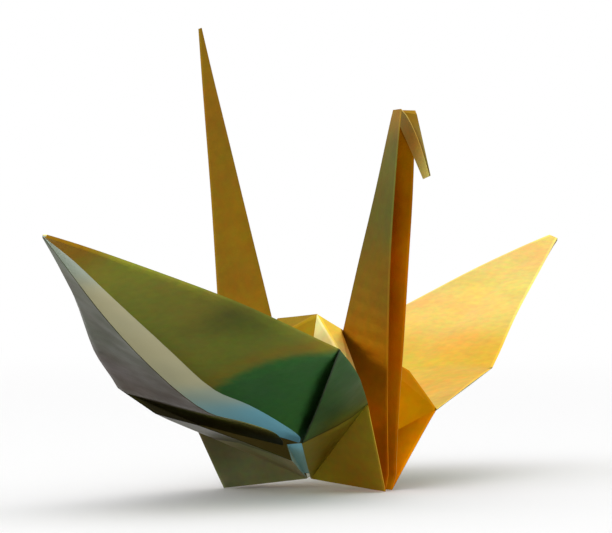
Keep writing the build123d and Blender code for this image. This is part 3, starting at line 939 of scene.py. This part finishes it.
# The same for the uncoated side: painted reflection where gold or other layers beside it lend it their
# colour, and painted shade deep in the body
REVERSE_TINTS = {
    ("top", "near"): (
        ("reverse_mist", (9, -530, 232), (10, -480, 212), (14, -198, 92)),
        ("reverse_cream", (6, -400, 176), (0, -300, 135), (3, -240, 108)),
        ("reverse_sky", (28, -145, 71), (30, -95, 50)),
    ),
    ("lining", "near"): (
        ("reverse_sky", (35, -95, 45)), ("reverse_pool", (20, -70, 32), (5, -30, 15)),
    ),
    ("skin", "near"): (
        ("hollow", (-60, -65, 55), (4, -86, 36)), ("reverse_pool", (26, -98, 40), (10, -50, 24)),
    ),
    ("back", "near"): (("hollow", (0, -50, 100)),),
    ("web", "near"): (("hollow", (0, -30, 80)),),
    ("corner", "near"): (
        ("moss", (-75, -235, 98)), ("shadow", (-60, -190, 82), (-30, -140, 60)),
        ("dusk", (10, -105, 40)),
    ),
}

# How near a place the colours blend evenly, as a share of the side of the sheet
TINT_REACH_SHARE = 0.02


def blend_colours(tints, spot):
    """A colour between named colours, each strongest at its own places."""
    colours = bpy.context.scene.crane_foil
    side = bpy.context.scene.crane_sheet.paper_side
    total, weights = Vector(), 0.0
    for name, *places in tints:
        for thousandths in places:
            distance = (place(thousandths) - spot).length / side
            weight = 1 / (distance ** 2 + TINT_REACH_SHARE ** 2) ** 1.5
            total += Vector(getattr(colours, name)) * weight
            weights += weight
    return total / weights


def smooth_step(value, low, high):
    part = part_way(value, low, high)
    return part * part * (3 - 2 * part)


# The painted green reflection at the root of the near wing, as shares of the side of the sheet: how far out
# its edge is, how far that bellies out, from where to where it runs along the body, and how
# soft it is. Then the ripples in the edge along one side of the sheet, and the warm painted highlight
# along its rim outside it: how far out and how wide, in softnesses, and how strong.
GREEN_EDGE_SHARE = -0.227
GREEN_BELLY_SHARE = 0.018
GREEN_SPAN_SHARES = (0.012, 0.133)
GREEN_SOFTNESS_SHARE = 0.006
GREEN_RIPPLES = 14
RIM_PLACE, RIM_WIDTH, RIM_STRENGTH = -2, 1.5, 0.45


def is_inside(region, way):
    """Whether a way looks from a leg, the head or a lip into the fold's own inside."""
    kind, side, _ = region
    return kind in ("leg", "head", "lip") and way.y * WAY_OUT[side] < 0


def past_green_reflection(spot):
    """How far a place under the near wing is past the edge of its painted green reflection."""
    spot = spot / bpy.context.scene.crane_sheet.paper_side
    belly = GREEN_BELLY_SHARE * arch(part_way(spot.x, *GREEN_SPAN_SHARES))
    return spot.y - GREEN_EDGE_SHARE + belly + noise.noise(spot * GREEN_RIPPLES) * GREEN_SOFTNESS_SHARE


def gold_tint(region, spot, way):
    """The foil's painted colour at a place on one region of the sheet, on the side that faces a way."""
    colours = bpy.context.scene.crane_foil
    tint = blend_colours((INSIDE_TINTS if is_inside(region, way) else TINTS)[region], spot)
    if region == ("flap", "near", "neck"):
        # Painted reflection: a green reflection under the near wing's root, with a painted highlight in warm
        # gold along its edge.
        past = past_green_reflection(spot)
        rim = exp(-((past / GREEN_SOFTNESS_SHARE - RIM_PLACE) / RIM_WIDTH) ** 2)
        tint = between(tint, Vector(colours.warm_gold), RIM_STRENGTH * rim)
        root = smooth_step(past, -GREEN_SOFTNESS_SHARE, GREEN_SOFTNESS_SHARE)
        tint = between(tint, Vector(colours.reflected_green), root)
    return tint


def reverse_tint(region, spot):
    """The colour of the sheet's uncoated side, which takes on what stands beside it as painted reflection."""
    spots = REVERSE_TINTS.get(region[:2])
    if spots:
        return blend_colours(spots, spot)
    return Vector(bpy.context.scene.crane_foil.reverse_white)


# Where the painted fold glow stands in for gold faces lighting each other beside the neck's root,
# how far that reaches and how much of the glow it has, and how much painted glow the head's near side has
GLOW_MIDDLE = (75, 0, 50)
GLOW_REACH_SHARE = 0.13
ROOT_GLOW = 0.36
HEAD_GLOW = 0.75


def fold_glow(region, spot, way):
    """How much of the painted fold glow a place has, from 0 to 1."""
    kind, side, end = region
    inside = is_inside(region, way)
    if (kind, side) == ("head", "near"):
        return 0.0 if inside else HEAD_GLOW
    if end != "neck" or kind not in ("leg", "web", "lip") or (kind == "lip" and not inside):
        return 0.0
    distance = (spot - place(GLOW_MIDDLE)).length / bpy.context.scene.crane_sheet.paper_side
    return ROOT_GLOW * (1 - smooth_step(distance, GLOW_REACH_SHARE / 3, GLOW_REACH_SHARE))


# A place inside each side of the body, which the gold side there looks away from
BODY_MIDDLES = {"near": (0, -35, 75), "far": (0, 35, 75)}


def is_gold(region, way, spot):
    """Whether the gold side of the sheet faces this way."""
    kind, side, _ = region
    if kind in ("leg", "head", "lip"):
        return True
    if kind == "lining":
        return way.y * WAY_OUT[side] < 0
    if kind in ("flap", "corner"):
        return way.dot(under_way(side)) > 0
    if kind == "top":
        return way.dot(under_way(side)) < 0
    return way.dot(spot - place(BODY_MIDDLES[side])) > 0


def fill_inputs(tree, node, inputs):
    """Links each input that is given a socket, and sets each that is given a value."""
    for name, value in inputs.items():
        if isinstance(value, bpy.types.NodeSocket):
            tree.links.new(value, node.inputs[name])
        else:
            node.inputs[name].default_value = value


def add_node(tree, kind, inputs=None, **options):
    """A node of one kind, with its options set and its inputs filled."""
    node = tree.nodes.new("ShaderNode" + kind)
    for option, value in options.items():
        setattr(node, option, value)
    fill_inputs(tree, node, inputs or {})
    return node


def empty_tree(owner):
    """The node tree of a material or a world, with nothing in it."""
    owner.use_nodes = True
    owner.node_tree.nodes.clear()
    return owner.node_tree


def new_material(name):
    material = bpy.data.materials.new(name)
    tree = empty_tree(material)
    return material, tree, add_node(tree, "BsdfPrincipled")


def add_noise(tree, scale, detail, roughness=0.5):
    spots = add_node(tree, "TexCoord").outputs["Object"]
    return add_node(tree, "TexNoise", {
        "Vector": spots, "Scale": scale, "Detail": detail, "Roughness": roughness,
    })


# Between which values most of a noise lies
NOISE_RANGE = (0.3, 0.7)


def add_range(tree, source, low, high):
    """Maps a noise's middle values to a range."""
    return add_node(tree, "MapRange", {
        "Value": source.outputs["Fac"], "From Min": NOISE_RANGE[0], "From Max": NOISE_RANGE[1],
        "To Min": low, "To Max": high,
    }).outputs["Result"]


def add_hue_range(tree, source, drift):
    """Maps each colour of a noise to a range round 1, so that hue and lightness both drift.

    The node's colour sockets have the names of its plain ones, so they go by number.
    """
    ends = (*NOISE_RANGE, 1 - drift, 1 + drift)
    inputs = {number: (value,) * 3 for number, value in enumerate(ends, start=7)}
    inputs[6] = source.outputs["Color"]
    return add_node(tree, "MapRange", inputs, data_type="FLOAT_VECTOR").outputs["Vector"]


def add_product(tree, product, *factors):
    for factor in factors:
        node = add_node(tree, "VectorMath", {0: product, 1: factor}, operation="MULTIPLY")
        product = node.outputs["Vector"]
    return product


def add_line(tree, layer, strength):
    """A factor that is strongest on the lines of a layer and 1 away from them: painted shade on creases,
    painted highlight on ridges.
    """
    width = bpy.context.scene.crane_foil.line_width
    distance = add_node(tree, "Attribute", attribute_name=layer)
    return add_node(tree, "MapRange", {
        "Value": distance.outputs["Fac"], "From Min": width / 2, "From Max": width * 1.5,
        "To Min": strength, "To Max": 1.0,
    }, interpolation_type="SMOOTHSTEP").outputs["Result"]


def add_tint(tree, mottle):
    """The sheet's painted tint, changed by a mottle, by painted shade on its creases and painted highlight on
    its ridges, and the painted glow.
    """
    settings = bpy.context.scene.crane_foil
    tint = add_node(tree, "VertexColor", layer_name="tint")
    crease = add_line(tree, "crease", settings.crease_shade)
    ridge = add_line(tree, "ridge", settings.ridge_shine)
    return add_product(tree, tint.outputs["Color"], mottle, crease, ridge), tint.outputs["Alpha"]


def add_bump(tree, kind, strength, distance, under=None):
    """A bump from one kind of noise, on top of the bump under it."""
    inputs = {"Height": add_noise(tree, *kind).outputs["Fac"], "Strength": strength, "Distance": distance}
    if under is not None:
        inputs["Normal"] = under
    return add_node(tree, "Bump", inputs).outputs["Normal"]


# The noises of the foil and of the paper: scale, detail and roughness
CLOUD = (110.0, 5.0, 0.6)
SPECK = (900.0, 2.0)
BLOTCH = (62.0, 3.0)
UNEVEN_GLOSS = (260.0, 4.0)
GRAIN = (2600.0, 3.0)
CRINKLE = (240.0, 6.0, 0.62)
REVERSE_CLOUD = (200.0, 4.0)
FIBRE = (3000.0, 4.0)

# How far each noise moves the foil's colour, as a share of it, and how far the white side's
FOIL_MOTTLE = ((CLOUD, 0.10), (SPECK, 0.07), (BLOTCH, 0.08))
REVERSE_MOTTLE = 0.03

# How much smoother and how much rougher than its setting the foil gets
GLOSS_SWING = (-0.05, 0.06)

# The strength of each bump, and its height in metres
GRAIN_BUMP = (0.10, 0.00005)
CRINKLE_BUMP = (0.25, 0.0002)
FIBRE_BUMP = (0.15, 0.00005)
REVERSE_ROUGHNESS = 0.55


def foil_material():
    """Satin gold foil: a mottled painted tint, a painted glow in the folds, uneven gloss and the fine grain
    of the paper under it.
    """
    settings = bpy.context.scene.crane_foil
    material, tree, shader = new_material("gold_foil")
    drifts = [add_hue_range(tree, add_noise(tree, *kind), drift) for kind, drift in FOIL_MOTTLE]
    colour, glow = add_tint(tree, add_product(tree, *drifts))
    whitening = {0: colour, 1: (1 - settings.foil_grazing,) * 3, 2: (settings.foil_grazing,) * 3}
    grazing = add_node(tree, "VectorMath", whitening, operation="MULTIPLY_ADD")
    light = add_node(tree, "Math", {0: glow, 1: settings.fold_glow}, operation="MULTIPLY")
    roughnesses = [settings.foil_roughness + swing for swing in GLOSS_SWING]
    fill_inputs(tree, shader, {
        "Base Color": colour,
        "Metallic": settings.foil_metal,
        "Roughness": add_range(tree, add_noise(tree, *UNEVEN_GLOSS), *roughnesses),
        "Specular Tint": grazing.outputs["Vector"],
        "Emission Color": colour,
        "Emission Strength": light.outputs["Value"],
        "Normal": add_bump(tree, CRINKLE, *CRINKLE_BUMP, add_bump(tree, GRAIN, *GRAIN_BUMP)),
    })
    add_node(tree, "OutputMaterial", {"Surface": shader.outputs["BSDF"]})
    return material


def reverse_material():
    """The plain uncoated side of the sheet, with its painted tint and a painted glow in place of the light it
    gathers.
    """
    material, tree, shader = new_material("white_reverse")
    mottle = add_range(tree, add_noise(tree, *REVERSE_CLOUD), 1 - REVERSE_MOTTLE, 1 + REVERSE_MOTTLE)
    colour, _ = add_tint(tree, mottle)
    fill_inputs(tree, shader, {
        "Base Color": colour,
        "Roughness": REVERSE_ROUGHNESS,
        "Emission Color": colour,
        "Emission Strength": bpy.context.scene.crane_foil.reverse_glow,
        "Normal": add_bump(tree, FIBRE, *FIBRE_BUMP),
    })
    add_node(tree, "OutputMaterial", {"Surface": shader.outputs["BSDF"]})
    return material


def add_object(name, data):
    """An object for some data, put in the scene."""
    made = bpy.data.objects.new(name, data)
    bpy.context.scene.collection.objects.link(made)
    return made


# The furthest that a distance to a crease or a ridge is told, in metres
LINE_REACH = 0.004


def distance_to_lines(spot, lines):
    """The distance from a spot to the nearest of some straight pieces, up to the reach."""
    nearest = LINE_REACH
    for start, end in lines:
        along = end - start
        part = part_way((spot - start).dot(along), 0.0, along.length_squared)
        nearest = min(nearest, (spot - start - along * part).length)
    return nearest


def paint_sheet(mesh, sheet, vertices, triangles):
    """Gives each triangle the material of its side, and each corner its painted tint and its painted glow."""
    tints = mesh.color_attributes.new("tint", "FLOAT_COLOR", "CORNER")
    for polygon, (corners, k, up) in zip(mesh.polygons, triangles):
        region = sheet.regions[k]
        facet = [sheet.points[name] for name in sheet.facets[k]]
        way = facet_way(facet) * (1 if up else -1)
        gold = up is None or is_gold(region, way, sum(facet, Vector()) / 3)
        if up is None:
            way = Vector((0, WAY_OUT[region[1]], 0))
        polygon.material_index = 0 if gold else 1
        for loop, corner in zip(polygon.loop_indices, corners):
            spot = vertices[corner]
            if gold:
                colour = (*gold_tint(region, spot, way), fold_glow(region, spot, way))
            else:
                colour = (*reverse_tint(region, spot), 0.0)
            tints.data[loop].color = colour


# The least turn between two facets that shows as a sharp fold
FOLD_ANGLE = radians(24)


class CRANE_OT_fold_sheet(bpy.types.Operator):
    """Fold the square sheet into the crane"""

    bl_idname = "crane.fold_sheet"
    bl_label = "Fold the Sheet"

    def execute(self, context):
        sizes = context.scene.crane_sheet
        sheet = fold_crane()
        noise.seed_set(WAVE_SEED)
        waved = {
            name: spot + wave(spot, sizes.wave_length) * sizes.wave_height
            for name, spot in sheet.points.items()
        }
        vertices, names, triangles = thick_sheet(waved, sheet.facets, sizes.paper_thickness)
        mesh = bpy.data.meshes.new("foil_paper_crane")
        mesh.from_pydata([tuple(spot) for spot in fit_to_node(vertices)], [], [t for t, _, _ in triangles])
        mesh.materials.append(foil_material())
        mesh.materials.append(reverse_material())
        paint_sheet(mesh, sheet, vertices, triangles)
        for layer, lines in (("crease", sheet.creases), ("ridge", sheet.ridges)):
            distances = mesh.attributes.new(layer, "FLOAT", "POINT")
            for number, name in enumerate(names):
                distances.data[number].value = distance_to_lines(sheet.points[name], lines)
        mesh.shade_smooth()
        mesh.set_sharp_from_angle(angle=FOLD_ANGLE)
        crane = add_object("foil_paper_crane", mesh)
        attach(crane, "root")
        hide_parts(NODE)
        return {"FINISHED"}


# What the camera looks at, on the bird as it is folded
TARGET = (-2, -1, 204)

# Each lamp's place in metres, its power in watts and its side in metres
LAMPS = {
    "top_lamp": ((0.10, -0.15, 0.90), 2.0, 0.9),
    "side_lamp": ((-0.70, -0.60, 0.35), 1.2, 0.6),
}

# The strength of the plain light from all round
WORLD_LIGHT = 0.9

# The floor: its corners, its finish, and from where to where it fades to white, in metres
FLOOR_CORNERS = 64
FLOOR_ROUGHNESS = 0.8
FLOOR_SPECULAR = 0.1
FLOOR_FADE = (0.12, 0.60)
NEAREST_SEEN = 0.01


def camera_target():
    """The middle of the picture, given on the bird as it is folded and moved with it."""
    low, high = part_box(NODE)
    own_low, own_high = own_box(fold_crane().points.values())
    return place(TARGET) + (low + high) / 2 - (own_low + own_high) / 2


def aim(holder, way):
    """Turns a lamp or a camera to look a way."""
    holder.rotation_euler = way.to_track_quat("-Z", "Y").to_euler()


class CRANE_OT_set_stage(bpy.types.Operator):
    """Lay the floor, hang the lamps and place the camera"""

    bl_idname = "crane.set_stage"
    bl_label = "Set the Stage"

    def execute(self, context):
        stage = context.scene.crane_stage
        self.lay_floor(stage)
        self.light_world(context)
        target = camera_target()
        for name, (spot, power, size) in LAMPS.items():
            lamp = bpy.data.lights.new(name, "AREA")
            lamp.energy = power
            lamp.size = size
            holder = add_object(name, lamp)
            holder.location = spot
            aim(holder, target - Vector(spot))
        back = Vector((
            sin(stage.camera_side_angle) * cos(stage.camera_height_angle),
            -cos(stage.camera_side_angle) * cos(stage.camera_height_angle),
            sin(stage.camera_height_angle),
        ))
        view = bpy.data.cameras.new("camera")
        view.lens = stage.lens_length
        view.clip_start = NEAREST_SEEN
        camera = add_object("camera", view)
        camera.location = target + back * stage.camera_distance
        aim(camera, -back)
        context.scene.camera = camera
        context.scene.view_settings.view_transform = "Standard"
        return {"FINISHED"}

    def lay_floor(self, stage):
        """A pale floor that fades to white away from the bird and keeps its shadow."""
        turns = [tau * k / FLOOR_CORNERS for k in range(FLOOR_CORNERS)]
        ring = [(stage.floor_size * cos(turn), stage.floor_size * sin(turn), 0.0) for turn in turns]
        mesh = bpy.data.meshes.new("floor")
        mesh.from_pydata(ring, [], [list(range(FLOOR_CORNERS))])
        material, tree, shader = new_material("pale_floor")
        fill_inputs(tree, shader, {
            "Base Color": (*stage.floor_colour, 1.0), "Roughness": FLOOR_ROUGHNESS,
            "Specular IOR Level": FLOOR_SPECULAR,
        })
        spots = add_node(tree, "TexCoord").outputs["Object"]
        distance = add_node(tree, "VectorMath", {0: spots}, operation="LENGTH")
        fade = add_node(tree, "MapRange", {
            "Value": distance.outputs["Value"], "From Min": FLOOR_FADE[0], "From Max": FLOOR_FADE[1],
        }, interpolation_type="SMOOTHSTEP")
        camera_ray = add_node(tree, "LightPath").outputs["Is Camera Ray"]
        seen = add_node(tree, "Math", {0: fade.outputs["Result"], 1: camera_ray}, operation="MULTIPLY")
        white = add_node(tree, "Emission").outputs["Emission"]
        mix = add_node(tree, "MixShader", {
            "Fac": seen.outputs["Value"], 1: shader.outputs["BSDF"], 2: white,
        })
        add_node(tree, "OutputMaterial", {"Surface": mix.outputs["Shader"]})
        mesh.materials.append(material)
        add_object("floor", mesh)

    def light_world(self, context):
        """Plain light from all round, with white for the camera and for reflections."""
        world = bpy.data.worlds.new("studio")
        tree = empty_tree(world)
        plain, white = (
            add_node(tree, "Background", {"Color": (1.0, 1.0, 1.0, 1.0), "Strength": strength})
            for strength in (WORLD_LIGHT, 1.0)
        )
        path = add_node(tree, "LightPath")
        seen = path.outputs["Is Camera Ray"]
        for kind in ("Is Glossy Ray", "Is Transmission Ray"):
            rays = {0: seen, 1: path.outputs[kind]}
            seen = add_node(tree, "Math", rays, operation="ADD", use_clamp=True).outputs["Value"]
        mix = add_node(tree, "MixShader", {
            "Fac": seen, 1: plain.outputs["Background"], 2: white.outputs["Background"],
        })
        add_node(tree, "OutputWorld", {"Surface": mix.outputs["Shader"]})
        context.scene.world = world


class CRANE_PT_panel(bpy.types.Panel):
    """The crane's settings and steps"""

    bl_label = "Foil Paper Crane"
    bl_idname = "CRANE_PT_panel"
    bl_space_type = "VIEW_3D"
    bl_region_type = "UI"
    bl_category = "Crane"

    def draw(self, context):
        layout = self.layout
        for group in SETTINGS:
            settings = getattr(context.scene, group)
            box = layout.box()
            for name in settings.__annotations__:
                box.prop(settings, name)
        layout.operator(CRANE_OT_fold_sheet.bl_idname)
        layout.operator(CRANE_OT_set_stage.bl_idname)


SETTINGS = {
    "crane_sheet": CraneSheetSettings,
    "crane_foil": CraneFoilSettings,
    "crane_stage": CraneStageSettings,
}
CLASSES = (*SETTINGS.values(), CRANE_OT_fold_sheet, CRANE_OT_set_stage, CRANE_PT_panel)


def register():
    for one in CLASSES:
        bpy.utils.register_class(one)
    for name, settings in SETTINGS.items():
        setattr(bpy.types.Scene, name, PointerProperty(type=settings))


def unregister():
    for name in SETTINGS:
        delattr(bpy.types.Scene, name)
    for one in reversed(CLASSES):
        bpy.utils.unregister_class(one)


def main():
    register()
    bpy.ops.crane.fold_sheet()
    bpy.ops.crane.set_stage()


if __name__ == "__main__":
    main()
